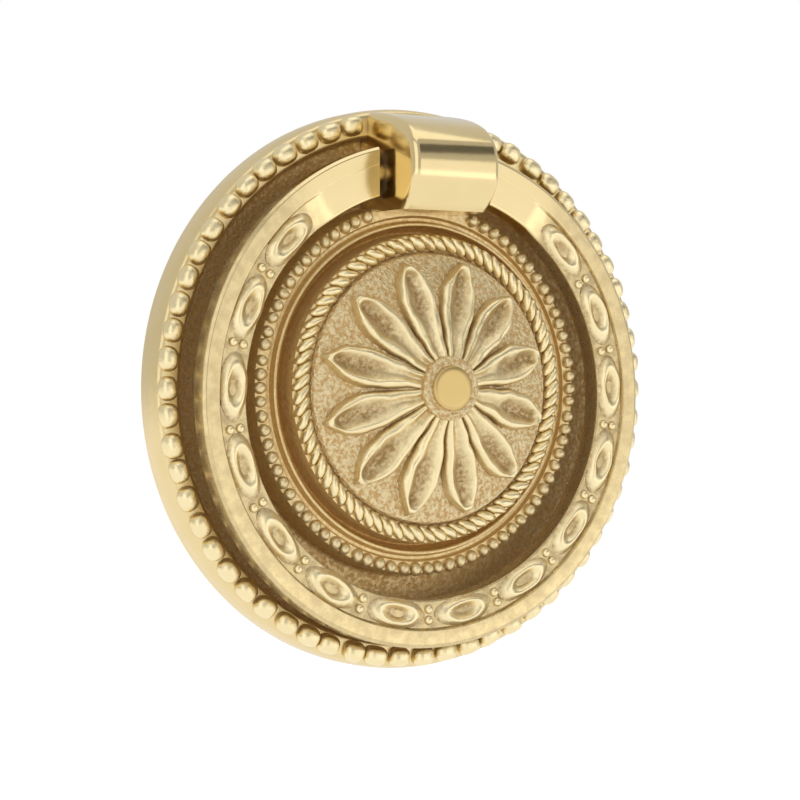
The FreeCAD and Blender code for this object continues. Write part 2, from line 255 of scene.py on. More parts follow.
def rounded(corners, steps=6):
    """A closed outline through corners (x, y, radius), with each corner taken off by a curve."""
    points = []
    count = len(corners)
    for i, (x, y, radius) in enumerate(corners):
        here = Vector((x, y))
        before = Vector(corners[i - 1][:2]) - here
        after = Vector(corners[(i + 1) % count][:2]) - here
        if radius == 0:
            points.append(here)
            continue
        turn = before.angle(after)
        # Two corners share a side, so each takes less than half of it.
        cut = min(radius / math.tan(turn / 2), before.length * 0.48, after.length * 0.48)
        start = here + before.normalized() * cut
        end = here + after.normalized() * cut
        for k in range(steps + 1):
            t = k / steps
            points.append(start * (1 - t) ** 2 + here * (2 * t * (1 - t)) + end * t ** 2)
    return [(p.x, p.y) for p in points]


def smooth_through(knots, steps):
    """A smooth line through the knots, with steps between each two."""
    line = []
    for i in range(len(knots) - 1):
        a, b, c, d = (Vector(knots[min(max(k, 0), len(knots) - 1)]) for k in range(i - 1, i + 3))
        for k in range(steps):
            t = k / steps
            point = (b * 2 + (c - a) * t + (a * 2 - b * 5 + c * 4 - d) * t ** 2
                     + (b * 3 - a - c * 3 + d) * t ** 3) / 2
            line.append((point.x, point.y))
    return line + [knots[-1]]


def spot(radius, angle, out, drop=0.0):
    """A point in metres, from a radius and an angle round the plate's axis and a height."""
    return Vector((radius * math.cos(angle), -out, radius * math.sin(angle) - drop)) * MM


def show(name, data):
    """Puts a mesh, a lamp or a camera into the scene."""
    thing = bpy.data.objects.new(name, data)
    bpy.context.scene.collection.objects.link(thing)
    return thing


def shade(mesh, sharp_degrees):
    """Smooth shading, apart from edges that turn by more than the angle given."""
    mesh.shade_smooth()
    mesh.set_sharp_from_angle(angle=math.radians(sharp_degrees))


def finish_mesh(name, verts, faces, sharp_degrees=40):
    """A piece of these points and faces, with its seams merged and its faces turned outwards."""
    mesh = bpy.data.meshes.new(name)
    mesh.from_pydata([tuple(v) for v in verts], [], faces)
    merged = bmesh.new()
    merged.from_mesh(mesh)
    bmesh.ops.remove_doubles(merged, verts=merged.verts, dist=1e-7)
    bmesh.ops.recalc_face_normals(merged, faces=merged.faces)
    merged.to_mesh(mesh)
    merged.free()
    shade(mesh, sharp_degrees)
    return show(name, mesh)


def grid_faces(rows, columns, wrap_rows=False, wrap_columns=False):
    """The quads of a grid of points that are counted along each row in turn."""
    faces = []
    for i in range(rows if wrap_rows else rows - 1):
        for j in range(columns if wrap_columns else columns - 1):
            a = i * columns + j
            b = i * columns + (j + 1) % columns
            c = ((i + 1) % rows) * columns + (j + 1) % columns
            d = ((i + 1) % rows) * columns + j
            faces.append((a, b, c, d))
    return faces


def rod_faces(rows, columns):
    """The quads of a rod, whose rows of points are closed rings, and a cap on each of its ends."""
    caps = [tuple(range(columns)), tuple(range((rows - 1) * columns, rows * columns))]
    return grid_faces(rows, columns, wrap_columns=True) + caps


def turned(name, outline, steps):
    """A closed outline of (radius, height) points turned once round the plate's axis."""
    verts = [spot(r, TURN * i / steps, out) for i in range(steps) for r, out in outline]
    return finish_mesh(name, verts, grid_faces(steps, len(outline), True, True))


def use_result(piece, modifier):
    """Makes what a modifier shows the piece's own plain mesh."""
    shown = piece.evaluated_get(bpy.context.evaluated_depsgraph_get())
    mesh = bpy.data.meshes.new_from_object(shown)
    piece.modifiers.remove(modifier)
    piece.data = mesh


def write_marks(piece, name, values):
    """Keeps a number from 0 to 1 for each point of a piece, which its finish reads."""
    marks = piece.data.attributes.new(name, "FLOAT", "POINT")
    marks.data.foreach_set("value", values)


def mark(piece, name, rule):
    """Marks a piece's points by a rule of their radius and height."""
    points = [vertex.co for vertex in piece.data.vertices]
    write_marks(piece, name, [rule(math.hypot(p.x, p.z) / MM, -p.y / MM) for p in points])


def hand_cast(piece, wave_mm, depth_mm):
    """Moves a piece's points a little, because no two petals or beads leave a mould alike."""
    noise.seed_set(CASTING_SEED)
    for vertex in piece.data.vertices:
        vertex.co += noise.noise_vector(vertex.co / (wave_mm * MM)) * depth_mm * MM
    return piece


def paint(piece, finish):
    piece.data.materials.clear()
    piece.data.materials.append(finish)
    return piece


# Copies round an axis: beads, pearls, strands, petals and ovals.


def copies_tree():
    """Geometry nodes that repeat a piece round the plate's axis, each copy a pitch on from the last."""
    tree = bpy.data.node_groups.new("copies_round_axis", "GeometryNodeTree")
    face = tree.interface
    face.new_socket("Geometry", in_out="INPUT", socket_type="NodeSocketGeometry")
    for name, kind in (("Copies", "NodeSocketInt"), ("Pitch", "NodeSocketFloat"),
                       ("First", "NodeSocketFloat"), ("Unevenness", "NodeSocketFloat"),
                       ("Seed", "NodeSocketInt"), ("Drop", "NodeSocketFloat"),
                       ("Finish", "NodeSocketMaterial")):
        face.new_socket(name, in_out="INPUT", socket_type=kind)
    face.new_socket("Geometry", in_out="OUTPUT", socket_type="NodeSocketGeometry")
    given = add(tree, "NodeGroupInput").outputs
    index = add(tree, "GeometryNodeInputIndex").outputs["Index"]
    down = add(tree, "ShaderNodeMath", {0: given["Drop"], 1: -1.0}, operation="MULTIPLY")
    centre = add(tree, "ShaderNodeCombineXYZ", {"Z": down.outputs[0]})
    points = add(tree, "GeometryNodePoints", {"Count": given["Copies"], "Position": centre.outputs[0]})
    even = add(tree, "ShaderNodeMath", {0: index, 1: given["Pitch"], 2: given["First"]},
               operation="MULTIPLY_ADD")
    chance = add(tree, "FunctionNodeRandomValue", {"ID": index, "Seed": given["Seed"]},
                 data_type="FLOAT")
    spread = add(tree, "ShaderNodeMath", {0: chance.outputs[1], 1: -0.5}, operation="ADD")
    angle = add(tree, "ShaderNodeMath",
                {0: spread.outputs[0], 1: given["Unevenness"], 2: even.outputs[0]},
                operation="MULTIPLY_ADD")
    back = add(tree, "ShaderNodeMath", {0: angle.outputs[0], 1: -1.0}, operation="MULTIPLY")
    turn = add(tree, "ShaderNodeCombineXYZ", {"Y": back.outputs[0]})
    rotation = add(tree, "FunctionNodeEulerToRotation", {"Euler": turn.outputs[0]})
    copies = add(tree, "GeometryNodeInstanceOnPoints",
                 {"Points": points.outputs[0], "Instance": given["Geometry"],
                  "Rotation": rotation.outputs[0]})
    real = add(tree, "GeometryNodeRealizeInstances", {"Geometry": copies.outputs[0]})
    finish = add(tree, "GeometryNodeSetMaterial",
                 {"Geometry": real.outputs[0], "Material": given["Finish"]})
    add(tree, "NodeGroupOutput", {"Geometry": finish.outputs[0]})
    return tree


COPIES = copies_tree()


def repeat(piece, finish, copies, pitch, first, unevenness=0.0, seed=1, drop=0.0):
    """Repeats a piece that was drawn at angle 0 round the axis, and makes the row a plain mesh."""
    values = {"Copies": copies, "Pitch": pitch, "First": first, "Unevenness": unevenness,
              "Seed": seed, "Drop": drop * MM, "Finish": finish}
    sockets = {s.name: s.identifier for s in COPIES.interface.items_tree if s.in_out == "INPUT"}
    row = piece.modifiers.new("copies", "NODES")
    row.node_group = COPIES
    for name, value in values.items():
        row[sockets[name]] = value
    use_result(piece, row)
    return piece


# Finishes. A slow cloud of colour and the cast grain move the edge of the painted shade and tarnish in the
# hollows by these shares.
CLOUD_MM = 4.0
CLOUD_SHADE_AND_TARNISH = 0.35
GRAIN_SHADE_AND_TARNISH = 0.4
# Grain is noise about 0.5, with tops above it and pits below: pairs are where a change begins and ends.
PATCHY_GRAIN = (0.38, 0.62)
PATCHY_TARNISH_AND_SHADE = (1.35, 0.6)
PITTED_GRAIN = (0.56, 0.4)
PIT_SOIL = 0.75
RUBBED_GRAIN = (0.48, 0.64)
RUBBED_TARNISH_AND_SHADE = 0.65
# How rough the stippled ground is, and how strong the grain is where the casting is buffed or tarnished.
GROUND_ROUGHNESS = 0.42
BUFFED_GRAIN = 0.08
TARNISHED_GRAIN = 0.7
TARNISH_AND_SHADE_METALLIC = 0.3


def tarnish_and_painted_shade(tree, grain, cloud, tarnish_and_shade, reach_mm, start, full):
    """How brown a point is: painted shade where ambient occlusion finds it sheltered, which also stands
    for tarnish in the hollows, or its own tarnish and painted shade marks in patches.
    """
    # Ambient occlusion darkens the colour in hollows: painted shade, and tarnish where cloths don't reach.
    shelter = add(tree, "ShaderNodeAmbientOcclusion", {"Distance": reach_mm * MM}, samples=12)
    uneven = add(tree, "ShaderNodeMath", {0: cloud, 1: CLOUD_SHADE_AND_TARNISH, 2: -CLOUD_SHADE_AND_TARNISH / 2},
                 operation="MULTIPLY_ADD")
    speck = add(tree, "ShaderNodeMath", {0: grain, 1: GRAIN_SHADE_AND_TARNISH, 2: uneven.outputs[0]},
                operation="MULTIPLY_ADD")
    open_air = add(tree, "ShaderNodeMath", {0: shelter.outputs["AO"], 1: speck.outputs[0]},
                   operation="ADD")
    shade_and_tarnish_in_hollows = add(tree, "ShaderNodeMapRange",
                    {"Value": open_air.outputs[0], "From Min": full + GRAIN_SHADE_AND_TARNISH / 2,
                     "From Max": start + GRAIN_SHADE_AND_TARNISH / 2, "To Min": 1.0, "To Max": 0.0})
    wear = add(tree, "ShaderNodeMapRange",
               {"Value": grain, "From Min": PATCHY_GRAIN[0], "From Max": PATCHY_GRAIN[1],
                "To Min": PATCHY_TARNISH_AND_SHADE[0], "To Max": PATCHY_TARNISH_AND_SHADE[1]})
    patchy = add(tree, "ShaderNodeMath", {0: tarnish_and_shade, 1: wear.outputs[0]}, operation="MULTIPLY")
    tarnish_and_shade_share = add(tree, "ShaderNodeMath", {0: shade_and_tarnish_in_hollows.outputs[0], 1: patchy.outputs[0]},
               operation="MAXIMUM")
    return tarnish_and_shade_share.outputs[0]


def stippled_tarnish_and_shade(tree, grain, tarnish_and_shade_share, on_ground):
    """Tarnish and painted shade on the stippled casting: dirt stays in the ground's pits, and high grains
    are rubbed clean.
    """
    pits = add(tree, "ShaderNodeMapRange",
               {"Value": grain, "From Min": PITTED_GRAIN[0], "From Max": PITTED_GRAIN[1],
                "To Max": PIT_SOIL})
    stipple = add(tree, "ShaderNodeMath", {0: pits.outputs[0], 1: on_ground}, operation="MULTIPLY")
    rubbed = add(tree, "ShaderNodeMapRange",
                 {"Value": grain, "From Min": RUBBED_GRAIN[0], "From Max": RUBBED_GRAIN[1],
                  "To Min": 1.0, "To Max": RUBBED_TARNISH_AND_SHADE})
    unrubbed = add(tree, "ShaderNodeMath", {0: tarnish_and_shade_share, 1: rubbed.outputs[0]}, operation="MULTIPLY")
    darker = add(tree, "ShaderNodeMath", {0: unrubbed.outputs[0], 1: stipple.outputs[0]},
                 operation="MAXIMUM")
    return darker.outputs[0]


def brass(name, bright, tarnish_and_shade_colour, polish, dull, grain_mm, grain_depth_mm, shade_and_tarnish_reach_mm, shade_and_tarnish_start,
          shade_and_tarnish_full, ground=None):
    """Brass that is bright where it is rubbed and brown where hands and cloths don't reach, with painted
    shade darkening its hollows.
    """
    finish = bpy.data.materials.new(name)
    tree = clear_nodes(finish)
    place = add(tree, "ShaderNodeTexCoord").outputs["Object"]
    grain = add(tree, "ShaderNodeTexNoise",
                {"Vector": place, "Scale": 1 / (grain_mm * MM), "Detail": 3.0,
                 "Roughness": 0.6}).outputs["Fac"]
    cloud = add(tree, "ShaderNodeTexNoise",
                {"Vector": place, "Scale": 1 / (CLOUD_MM * MM), "Detail": 4.0,
                 "Roughness": 0.65}).outputs["Fac"]
    # Each piece's marks: tarnish, and in the petals and ovals painted shade as well.
    tarnish_and_shade = add(tree, "ShaderNodeAttribute", attribute_name="tarnish_and_shade").outputs["Fac"]
    tarnish_and_shade_share = tarnish_and_painted_shade(tree, grain, cloud, tarnish_and_shade, shade_and_tarnish_reach_mm, shade_and_tarnish_start, shade_and_tarnish_full)
    open_colour = add(tree, "ShaderNodeMix",
                      {"Factor": cloud, "A": linear(bright[0]), "B": linear(bright[1])},
                      data_type="RGBA").outputs["Result"]
    open_roughness = polish
    grain_strength = 1.0
    if ground:
        on_ground = add(tree, "ShaderNodeAttribute", attribute_name="ground").outputs["Fac"]
        tarnish_and_shade_share = stippled_tarnish_and_shade(tree, grain, tarnish_and_shade_share, on_ground)
        open_colour = add(tree, "ShaderNodeMix",
                          {"Factor": on_ground, "A": open_colour, "B": linear(ground)},
                          data_type="RGBA").outputs["Result"]
        open_roughness = add(tree, "ShaderNodeMapRange",
                             {"Value": on_ground, "To Min": polish,
                              "To Max": GROUND_ROUGHNESS}).outputs[0]
        as_cast = add(tree, "ShaderNodeMath", {0: tarnish_and_shade, 1: TARNISHED_GRAIN, 2: on_ground},
                      operation="MULTIPLY_ADD")
        grain_strength = add(tree, "ShaderNodeMapRange",
                             {"Value": as_cast.outputs[0], "To Min": BUFFED_GRAIN,
                              "To Max": 1.0}).outputs[0]
    # The brown colour goes where tarnish is and where shade is painted into the hollows.
    colour = add(tree, "ShaderNodeMix", {"Factor": tarnish_and_shade_share, "A": open_colour, "B": linear(tarnish_and_shade_colour)},
                 data_type="RGBA")
    roughness = add(tree, "ShaderNodeMix", {"Factor": tarnish_and_shade_share, "A": open_roughness, "B": dull},
                    data_type="FLOAT")
    metal = add(tree, "ShaderNodeMapRange", {"Value": tarnish_and_shade_share, "To Min": 1.0, "To Max": TARNISH_AND_SHADE_METALLIC})
    relief = add(tree, "ShaderNodeBump",
                 {"Height": grain, "Distance": grain_depth_mm * MM, "Strength": grain_strength})
    shader = add(tree, "ShaderNodeBsdfPrincipled",
                 {"Base Color": colour.outputs["Result"], "Roughness": roughness.outputs["Result"],
                  "Metallic": metal.outputs[0], "Normal": relief.outputs[0]})
    add(tree, "ShaderNodeOutputMaterial", {"Surface": shader.outputs[0]})
    return finish


# Cast brass as it leaves the mould, buffed on its open faces: a soft shine, brown in the hollows from
# tarnish and painted shade.
CAST = brass("cast_brass_buffed", bright=("#EBD7A8", "#DFC891"), tarnish_and_shade_colour="#C4964E", polish=0.34, dull=0.5,
             grain_mm=0.42, grain_depth_mm=0.26, shade_and_tarnish_reach_mm=2.0, shade_and_tarnish_start=0.38, shade_and_tarnish_full=0.05,
             ground="#E3D0A4")
# The same casting's small relief, buffed hard on top: bright crests, and brown clefts from tarnish and
# painted shade.
RELIEF = brass("cast_brass_relief", bright=("#F6E6BC", "#EAD6A2"), tarnish_and_shade_colour="#A27F48", polish=0.32, dull=0.5,
               grain_mm=0.4, grain_depth_mm=0.05, shade_and_tarnish_reach_mm=1.0, shade_and_tarnish_start=0.5, shade_and_tarnish_full=0.15)
# Brass buffed on a wheel until it mirrors, as on the lug and the ring's border.
POLISHED = brass("polished_brass", bright=("#E8D3A2", "#DEC892"), tarnish_and_shade_colour="#6A4C24", polish=0.16, dull=0.45,
                 grain_mm=1.2, grain_depth_mm=0.008, shade_and_tarnish_reach_mm=2.2, shade_and_tarnish_start=0.5, shade_and_tarnish_full=0.15)
# Drawn brass rod with a turned end: an even bright satin.
DRAWN = brass("drawn_brass_rod", bright=("#D6BA7E", "#CFB274"), tarnish_and_shade_colour="#6A4820", polish=0.36, dull=0.4,
              grain_mm=0.3, grain_depth_mm=0.004, shade_and_tarnish_reach_mm=0.6, shade_and_tarnish_start=0.45, shade_and_tarnish_full=0.2)


# The plate and what is cast on it.


def plate_casting():
    """The plate, turned from its section: each corner is a radius, a height and its rounding."""
    back = [(STUD_HEAD_RADIUS, RELIEF_DEPTH, 0), (RELIEF_RADIUS, RELIEF_DEPTH, 0), (RELIEF_RADIUS, 0, 0)]
    rim = [(PLATE_RADIUS, 0, 0.2), (PLATE_RADIUS, SIDE_HEIGHT, 1.3),
           (PLATE_RADIUS - RIM_LEAN, RIM_TOP, 0.7), (CHANNEL_OUTER, RIM_TOP, 0.4)]
    channel = [(CHANNEL_OUTER - CHANNEL_LEAN, CHANNEL_FLOOR, 0.5),
               (STEP_RADIUS + STEP_LEAN, CHANNEL_FLOOR, 0.5)]
    step = [(STEP_RADIUS, STEP_TOP, 0.3), (STEP_INNER, STEP_TOP, 0.1),
            (STEP_INNER - GROOVE_LEAN, GROOVE_FLOOR, 0.15),
            (RIDGE_OUTER + GROOVE_LEAN, GROOVE_FLOOR, 0.15), (RIDGE_OUTER, RIDGE_TOP, 0.2),
            (RIDGE_INNER, RIDGE_TOP, 0.2), (RIDGE_INNER - GROOVE_LEAN, GROOVE_FLOOR, 0.2)]
    drum = [(DRUM_RADIUS + DRUM_LEAN, DRUM_FOOT, 0.2), (DRUM_RADIUS, ROPE_SEAT, 0.2),
            (FIELD_RADIUS, ROPE_SEAT, 0.2)]
    field = [(FIELD_RADIUS - FIELD_LEAN, GROUND_RIM, 0.3), (*GROUND_BEND, 1.0),
             (COLLAR_RADIUS, GROUND_TOP, 0.3)]
    collar = [(COLLAR_RADIUS, ROSETTE_HEIGHT, 0.3), (STUD_HEAD_RADIUS, ROSETTE_HEIGHT, 0)]
    plate = turned("plate_casting", rounded(back + rim + channel + step + drum + field + collar), 256)
    mark(plate, "ground", plate_ground)
    mark(plate, "tarnish_and_shade", plate_tarnish)
    return paint(plate, CAST)


def plate_ground(radius, out):
    """1 on the stippled ground and its collar, as far as under the rope, and 0 elsewhere."""
    return 1.0 if radius < FIELD_RADIUS + GROUND_UNDER_ROPE and out > CHANNEL_FLOOR else 0.0


def plate_tarnish(radius, out):
    """How brown the plate is: most in the channel, less on the step, not on its rim and field."""
    if radius > CHANNEL_OUTER + EDGE:
        return 0.0
    if out < CHANNEL_SOIL_TOP and radius > STEP_RADIUS - EDGE:
        return CHANNEL_SOIL
    if DRUM_RADIUS - EDGE / 2 < radius < STEP_RADIUS + EDGE * 2:
        return STEP_SOIL
    return 0.0


def blunt(value, bluntness):
    return math.copysign(abs(value) ** bluntness, value)


def bead(name, circle, seat, across, along, high, lay=0.0, segments=20, rings=10, bluntness=1.0):
    """A bead on the angle-0 side: half widths across and along its row, and a height on its seat."""
    verts = []
    for i in range(rings + 1):
        tilt = math.pi * i / rings
        for j in range(segments):
            turn = TURN * j / segments
            a = across * math.sin(tilt) ** bluntness * blunt(math.cos(turn), bluntness)
            b = along * math.sin(tilt) ** bluntness * blunt(math.sin(turn), bluntness)
            radial = a * math.cos(lay) - b * math.sin(lay)
            tangent = a * math.sin(lay) + b * math.cos(lay)
            verts.append(Vector((circle + radial, -seat - high * math.cos(tilt), tangent)) * MM)
    return finish_mesh(name, verts, grid_faces(rings + 1, segments, wrap_columns=True), 60)


def open_row(count, circle, half_gap):
    """How many of a full row's places clear the lug at the top, and the angle of the first."""
    pitch = TURN / count
    hidden = math.ceil(math.asin(half_gap / circle) / pitch - 0.5)
    return count - 2 * hidden, TOP + (hidden + 0.5) * pitch


def rim_beads():
    copies, first = open_row(BEAD_COUNT, BEAD_CIRCLE, LUG_HALF_WIDTH + BEAD_TO_LUG)
    one = bead("rim_beads", BEAD_CIRCLE, BEAD_SEAT, BEAD_HALF_WIDTH, BEAD_HALF_LENGTH, BEAD_HEIGHT,
               segments=28, rings=14, bluntness=BEAD_BLUNTNESS)
    row = repeat(one, RELIEF, copies, TURN / BEAD_COUNT, first, unevenness=0.012, seed=3)
    return hand_cast(row, wave_mm=2.0, depth_mm=0.14)


def step_pearls():
    copies, first = open_row(PEARL_COUNT, PEARL_CIRCLE, LUG_HALF_WIDTH)
    one = bead("step_pearls", PEARL_CIRCLE, STEP_TOP, PEARL_HALF_WIDTH, PEARL_HALF_LENGTH, PEARL_HEIGHT,
               segments=14, rings=8)
    mark(one, "tarnish_and_shade", lambda radius, out: PEARL_SOIL)
    row = repeat(one, RELIEF, copies, TURN / PEARL_COUNT, first, unevenness=0.015, seed=5)
    return hand_cast(row, wave_mm=1.5, depth_mm=0.12)


def medallion_rope():
    one = bead("medallion_rope", ROPE_CIRCLE, ROPE_SEAT, STRAND_HALF_WIDTH, STRAND_HALF_LENGTH,
               STRAND_HEIGHT, lay=-ROPE_LAY, segments=16, rings=8)
    row = repeat(one, RELIEF, ROPE_COUNT, TURN / ROPE_COUNT, 0.0, unevenness=0.01, seed=7)
    return hand_cast(row, wave_mm=1.2, depth_mm=0.14)


def petal_half_width(t):
    """Half a petal's width from its root, 0, to its tip, 1, whose point keeps a little width."""
    if t < PETAL_WIDEST:
        swell = math.sin(t / PETAL_WIDEST * math.pi / 2) ** PETAL_SWELL
        return blend(PETAL_ROOT_HALF_WIDTH, PETAL_HALF_WIDTH, swell)
    taper = 1 - ((t - PETAL_WIDEST) / (1 - PETAL_WIDEST)) ** PETAL_TAPER
    return max(PETAL_HALF_WIDTH * taper, PETAL_POINT)


def ground_height(radius):
    """The height of the stippled ground between the petals: two slopes that meet at its bend."""
    bend_radius, bend_height = GROUND_BEND
    if radius < bend_radius:
        return blend(bend_height, GROUND_TOP, (bend_radius - radius) / (bend_radius - COLLAR_RADIUS))
    return blend(GROUND_RIM, bend_height, (FIELD_RADIUS - radius) / (FIELD_RADIUS - bend_radius))


def flower():
    """Twelve petals: a round lip about a hollow, which narrows to a groove between two ridges."""
    along, across = 72, 48
    verts, tarnish_and_shade_share = [], []
    for i in range(along + 1):
        t = i / along
        radius = blend(PETAL_ROOT, PETAL_TIP, t)
        top = blend(PETAL_ROOT_TOP, PETAL_TIP_TOP, t)
        foot = ground_height(radius) - PETAL_SINK
        spoon = ease(t, *SPOON_OPENS)
        hollowed = 1 - ease(t, *HOLLOW_CLOSES)
        depth = min(blend(GROOVE_DEPTH, HOLLOW_DEPTH, spoon) * hollowed, top - foot - PETAL_FLOOR)
        crest = blend(*LIP_CRESTS, spoon)
        over_tip = ease(t, *TIP_FALLS)
        for j in range(across + 1):
            side = 2 * j / across - 1
            dish = math.cos(min(abs(side) / crest, 1.0) * math.pi / 2) ** DISH_SHAPE
            fall = max((abs(side) - crest) / (1 - crest), over_tip)
            out = top - depth * dish
            out += (foot - out) * (1 - math.sqrt(1 - fall ** LIP_ROUNDNESS))
            verts.append(Vector((radius, -out, side * petal_half_width(t))) * MM)
            # The deeper in the hollow and the lower on the lip's outer fall, the browner: tarnish, and
            # painted shade.
            in_hollow = dish * blend(*PETAL_HOLLOW_TARNISH_AND_SHADE, spoon) * hollowed
            tarnish_and_shade_share.append(min(1.0, in_hollow + PETAL_CLEFT_TARNISH_AND_SHADE * fall ** 4))
    one = finish_mesh("flower", verts, grid_faces(along + 1, across + 1), 80)
    write_marks(one, "tarnish_and_shade", tarnish_and_shade_share)
    row = repeat(one, RELIEF, PETAL_COUNT, TURN / PETAL_COUNT, PETAL_PHASE)
    return hand_cast(row, wave_mm=1.6, depth_mm=0.16)


def lug_outline():
    """The lug from its side, as (up, out) points: a long brow, a round front and a chin."""
    brow = [(LUG_TOP, LUG_FOOT), (LUG_TOP, 1.6), (27.75, 4.4), (27.1, 7.6), (26.3, 9.8), (25.5, 11.0)]
    front = [(24.6, 11.9), (23.6, 12.35), (22.2, LUG_FRONT), (20.6, 12.45)]
    chin = [(19.2, 11.8), (18.3, 11.0), (LUG_BOTTOM, 10.3)]
    return smooth_through(brow + front + chin, 6) + [(LUG_BOTTOM, LUG_FOOT)]


def hinge_lug():
    """The lug, drawn out between its two flat sides, with their edges in front rounded off."""
    outline = lug_outline()
    sides = (-LUG_HALF_WIDTH, LUG_HALF_WIDTH)
    verts = [Vector((x, -out, up)) * MM for x in sides for up, out in outline]
    lug = finish_mesh("hinge_lug", verts, rod_faces(len(sides), len(outline)))
    shape = bmesh.new()
    shape.from_mesh(lug.data)
    rims = [e for e in shape.edges if abs(e.verts[0].co.x - e.verts[1].co.x) < 1e-6
            and min(-v.co.y for v in e.verts) > LUG_BEVEL_FROM * MM]
    bmesh.ops.bevel(shape, geom=rims, offset=LUG_BEVEL * MM, segments=6, profile=0.5, affect="EDGES")
    shape.to_mesh(lug.data)
    shape.free()
    shade(lug.data, 35)
    return paint(lug, POLISHED)


# The ring and its frieze.


def ring_bail():
    """A flat C-shaped ring whose two ends are cut square beside the lug, with a blind hole in each."""
    section = rounded([
        (RING_INNER, RING_BACK, 0.7), (RING_OUTER, RING_BACK, 1.1),
        (RING_OUTER, RING_FACE - BEVEL_DEPTH, 0.15), (RING_OUTER - BEVEL_WIDTH, RING_FACE, 0.25),
        (FRIEZE_OUTER + FRIEZE_LEAN, RING_FACE, 0.12), (FRIEZE_OUTER - FRIEZE_LEAN, FRIEZE_FACE, 0.12),
        (RING_INNER, FRIEZE_FACE, 0.25)])
    steps = 260
    verts = []
    for i in range(steps + 1):
        for radius, out in section:
            cut = math.asin(RING_END / radius)
            angle = TOP + cut + (TURN - 2 * cut) * i / steps
            from_top = min(angle - TOP, TOP + TURN - angle)
            plain = min(max((PLAIN_END - from_top) / PLAIN_FADE, 0.0), 1.0)
            if FRIEZE_ROOT < out < RING_FACE and radius < FRIEZE_LIMIT:
                out += (RING_FACE - FRIEZE_FACE) * plain
            verts.append(spot(radius, angle, min(out, RING_FACE), RING_DROP))
    ring = finish_mesh("ring_bail", verts, rod_faces(steps + 1, len(section)))
    bore_ends(ring)
    write_marks(ring, "tarnish_and_shade", [ring_tarnish(vertex.co) for vertex in ring.data.vertices])
    return paint(ring, POLISHED)


def ring_tarnish(point):
    """How brown the ring is: most in its frieze, less on its border, not at its plain ends."""
    from_top = abs(math.atan2(point.x, point.z + RING_DROP * MM))
    worn = FRIEZE_SOIL if -point.y < (FRIEZE_FACE + EDGE) * MM else BORDER_SOIL
    return worn * ease(from_top, PLAIN_END - SOIL_FADE, PLAIN_END + SOIL_FADE)


def bore_ends(ring):
    """Cuts the hinge pin's holes into the ring's ends."""
    around = 32
    half = RING_END + PIN_HOLE_REACH
    rim = [(math.cos(TURN * k / around), math.sin(TURN * k / around)) for k in range(around)]
    verts = [Vector((x, -PIVOT_OUT + PIN_HOLE_RADIUS * a, PIVOT_UP + PIN_HOLE_RADIUS * b)) * MM
             for x in (-half, half) for a, b in rim]
    drill = finish_mesh("drill", verts, rod_faces(2, around))
    cut = ring.modifiers.new("bore", "BOOLEAN")
    cut.operation = "DIFFERENCE"
    cut.solver = "EXACT"
    cut.object = drill
    use_result(ring, cut)
    bpy.data.objects.remove(drill)
    shade(ring.data, 40)


def frieze_ovals():
    """Ovals with a rounded lip and a dished middle, bent to the ring's curve."""
    rings, segments = 14, 40
    verts = []
    for i in range(rings + 1):
        reach = i / rings
        lip = math.exp(-((reach - OVAL_LIP_PLACE) / OVAL_LIP_SPREAD) ** 2)
        out = FRIEZE_FACE - OVAL_SINK + OVAL_LIP_HEIGHT * lip
        for j in range(segments):
            turn = TURN * j / segments
            angle = OVAL_HALF_LENGTH * reach * math.cos(turn) / OVAL_CIRCLE
            radius = OVAL_CIRCLE + OVAL_HALF_WIDTH * reach * math.sin(turn)
            verts.append(spot(radius, angle, out))
    one = finish_mesh("frieze_ovals", verts, grid_faces(rings + 1, segments, wrap_columns=True), 75)
    mark(one, "tarnish_and_shade", oval_tarnish_and_shade)
    first = BOTTOM - OVAL_PITCH * (OVAL_COUNT - 1) / 2
    row = repeat(one, RELIEF, OVAL_COUNT, OVAL_PITCH, first, drop=RING_DROP)
    return hand_cast(row, wave_mm=1.6, depth_mm=0.12)


def oval_tarnish_and_shade(radius, out):
    """How brown an oval is, from tarnish and painted shade: most at its foot and in its dish, not on its
    lip.
    """
    return OVAL_TARNISH_AND_SHADE * ease(FRIEZE_FACE + OVAL_TARNISH_AND_SHADE_HEIGHT - out, 0.0, OVAL_TARNISH_AND_SHADE_HEIGHT)


def frieze_pearls():
    """Two small pearls side by side between each pair of ovals."""
    first = BOTTOM - OVAL_PITCH * (OVAL_COUNT - 2) / 2
    pair = []
    for name, shift in (("frieze_pearls_inner", -FRIEZE_PEARL_SHIFT),
                        ("frieze_pearls_outer", FRIEZE_PEARL_SHIFT)):
        one = bead(name, OVAL_CIRCLE + shift, FRIEZE_FACE, FRIEZE_PEARL_RADIUS, FRIEZE_PEARL_RADIUS,
                   FRIEZE_PEARL_HEIGHT, segments=12, rings=8)
        pair.append(repeat(one, RELIEF, OVAL_COUNT - 1, OVAL_PITCH, first, unevenness=0.02, seed=9,
                           drop=RING_DROP))
    return pair


# The stud.


